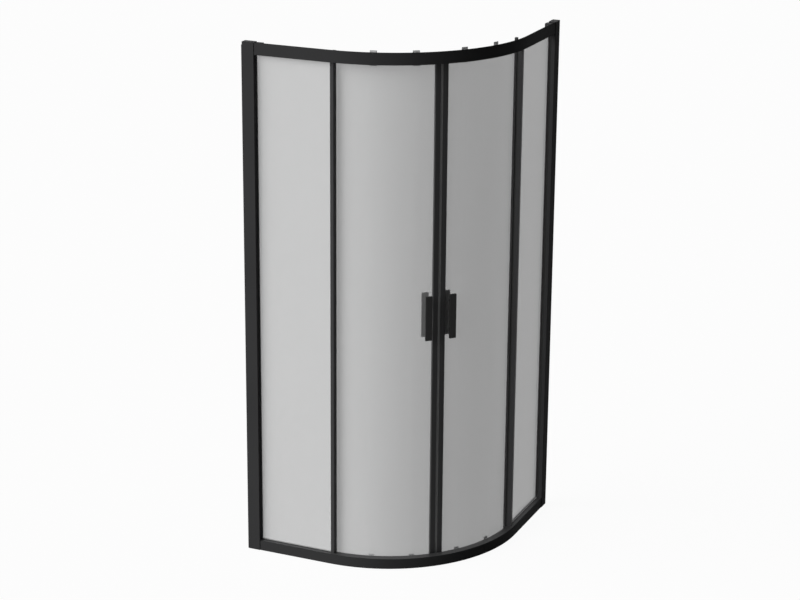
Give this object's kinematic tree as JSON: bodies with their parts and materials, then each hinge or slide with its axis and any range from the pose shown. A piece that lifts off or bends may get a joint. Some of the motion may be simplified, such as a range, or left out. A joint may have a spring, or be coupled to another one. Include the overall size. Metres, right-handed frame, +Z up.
{
  "type": "quadrant shower enclosure",
  "caption": "Corner shower enclosure with a curved black frame, flat side glass, curved sliding glass doors on rollers and bar handles.",
  "frame": {"origin": "centre of the box round the whole cabin, on the floor", "axes": "+Z up; the left side panel faces -Y and its wall is at low X; the right side panel faces +X and its wall is at high Y; the doors meet on the diagonal between +X and -Y"},
  "size_m": [0.902, 0.902, 2],
  "materials": {
    "black_powder_coated_aluminium": "matte",
    "glass": "grey-tinted toughened safety glass",
    "black_rubber": "matt",
    "grey_seal": "soft grey plastic sleeve",
    "black_plastic": "fine moulded texture",
    "nylon": "moulded",
    "steel": "turned stainless or galvanised sheet"
  },
  "bodies": {
    "frame": {"adjuster_screws": "steel", "bottom_rail_face": "black_powder_coated_aluminium", "bottom_rail_ledge": "black_powder_coated_aluminium", "bottom_rail_sill": "black_powder_coated_aluminium", "door_stops": "black_rubber", "fixed_edge_bar_left": "black_powder_coated_aluminium", "fixed_edge_bar_right": "black_powder_coated_aluminium", "fixed_glass_left": "glass", "fixed_glass_right": "glass", "glazing_gasket_left": "black_rubber", "glazing_gasket_right": "black_rubber", "post_cap_left": "black_plastic", "post_cap_right": "black_plastic", "post_left": "black_powder_coated_aluminium", "post_right": "black_powder_coated_aluminium", "rail_blocks": "black_powder_coated_aluminium", "rail_screws": "steel", "top_rail_face": "black_powder_coated_aluminium", "top_rail_track": "black_powder_coated_aluminium", "wall_profile_left": "black_powder_coated_aluminium", "wall_profile_right": "black_powder_coated_aluminium"},
    "door_left": {"door_closing_profile_left": "black_powder_coated_aluminium", "door_glass_left": "glass", "door_magnetic_seal_left": "grey_seal", "door_trailing_profile_left": "black_powder_coated_aluminium", "door_trailing_seal_left": "black_rubber", "handle_bushes_left": "black_plastic", "handle_inner_left": "black_powder_coated_aluminium", "handle_outer_left": "black_powder_coated_aluminium", "handle_screws_left": "steel", "handle_spacers_left": "black_plastic", "roller_axles_left": "steel", "roller_bolts_left": "steel", "roller_guides_left": "steel", "roller_hangers_left": "steel"},
    "door_right": {"door_closing_profile_right": "black_powder_coated_aluminium", "door_glass_right": "glass", "door_magnetic_seal_right": "grey_seal", "door_trailing_profile_right": "black_powder_coated_aluminium", "door_trailing_seal_right": "black_rubber", "handle_bushes_right": "black_plastic", "handle_inner_right": "black_powder_coated_aluminium", "handle_outer_right": "black_powder_coated_aluminium", "handle_screws_right": "steel", "handle_spacers_right": "black_plastic", "roller_axles_right": "steel", "roller_bolts_right": "steel", "roller_guides_right": "steel", "roller_hangers_right": "steel"},
    "guide_wheel_front_left": {"guide_wheel_front_left": "nylon"},
    "guide_wheel_front_right": {"guide_wheel_front_right": "nylon"},
    "guide_wheel_rear_left": {"guide_wheel_rear_left": "nylon"},
    "guide_wheel_rear_right": {"guide_wheel_rear_right": "nylon"},
    "top_wheel_front_left": {"top_wheel_front_left": "nylon"},
    "top_wheel_front_right": {"top_wheel_front_right": "nylon"},
    "top_wheel_rear_left": {"top_wheel_rear_left": "nylon"},
    "top_wheel_rear_right": {"top_wheel_rear_right": "nylon"}
  },
  "joints": [
    {"name": "door_left_travel", "type": "hinge", "parent": "frame", "child": "door_left", "pos_m": [-0.129, 0.24, 1], "axis": [0, 0, -1], "range_deg": [0, 26]},
    {"name": "door_right_travel", "type": "hinge", "parent": "frame", "child": "door_right", "pos_m": [-0.24, 0.129, 1], "axis": [0, 0, 1], "range_deg": [0, 26]},
    {"name": "guide_wheel_front_left_spin", "type": "hinge", "parent": "door_left", "child": "guide_wheel_front_left", "pos_m": [0.19992, -0.34014, 0.0113], "axis": [0.5635, -0.8261, 0], "continuous": true},
    {"name": "guide_wheel_front_right_spin", "type": "hinge", "parent": "door_right", "child": "guide_wheel_front_right", "pos_m": [0.34014, -0.19992, 0.0113], "axis": [-0.8261, 0.5635, 0], "continuous": true},
    {"name": "guide_wheel_rear_left_spin", "type": "hinge", "parent": "door_left", "child": "guide_wheel_rear_left", "pos_m": [0.05334, -0.41021, 0.0113], "axis": [0.289, -0.9573, 0], "continuous": true},
    {"name": "guide_wheel_rear_right_spin", "type": "hinge", "parent": "door_right", "child": "guide_wheel_rear_right", "pos_m": [0.41021, -0.05334, 0.0113], "axis": [-0.9573, 0.289, 0], "continuous": true},
    {"name": "top_wheel_front_left_spin", "type": "hinge", "parent": "door_left", "child": "top_wheel_front_left", "pos_m": [0.19964, -0.33972, 1.9813], "axis": [0.5635, -0.8261, 0], "continuous": true},
    {"name": "top_wheel_front_right_spin", "type": "hinge", "parent": "door_right", "child": "top_wheel_front_right", "pos_m": [0.33972, -0.19964, 1.9813], "axis": [-0.8261, 0.5635, 0], "continuous": true},
    {"name": "top_wheel_rear_left_spin", "type": "hinge", "parent": "door_left", "child": "top_wheel_rear_left", "pos_m": [0.0532, -0.40973, 1.9813], "axis": [0.289, -0.9573, 0], "continuous": true},
    {"name": "top_wheel_rear_right_spin", "type": "hinge", "parent": "door_right", "child": "top_wheel_rear_right", "pos_m": [0.40973, -0.0532, 1.9813], "axis": [-0.9573, 0.289, 0], "continuous": true}
  ],
  "couplings": [
    {"joint": "guide_wheel_front_left_spin", "follows": "door_left_travel", "ratio": 74.099},
    {"joint": "guide_wheel_front_right_spin", "follows": "door_right_travel", "ratio": 74.099},
    {"joint": "guide_wheel_rear_left_spin", "follows": "door_left_travel", "ratio": 75.033},
    {"joint": "guide_wheel_rear_right_spin", "follows": "door_right_travel", "ratio": 75.033},
    {"joint": "top_wheel_front_left_spin", "follows": "door_left_travel", "ratio": 60.581},
    {"joint": "top_wheel_front_right_spin", "follows": "door_right_travel", "ratio": 60.581},
    {"joint": "top_wheel_rear_left_spin", "follows": "door_left_travel", "ratio": 61.345},
    {"joint": "top_wheel_rear_right_spin", "follows": "door_right_travel", "ratio": 61.345}
  ]
}
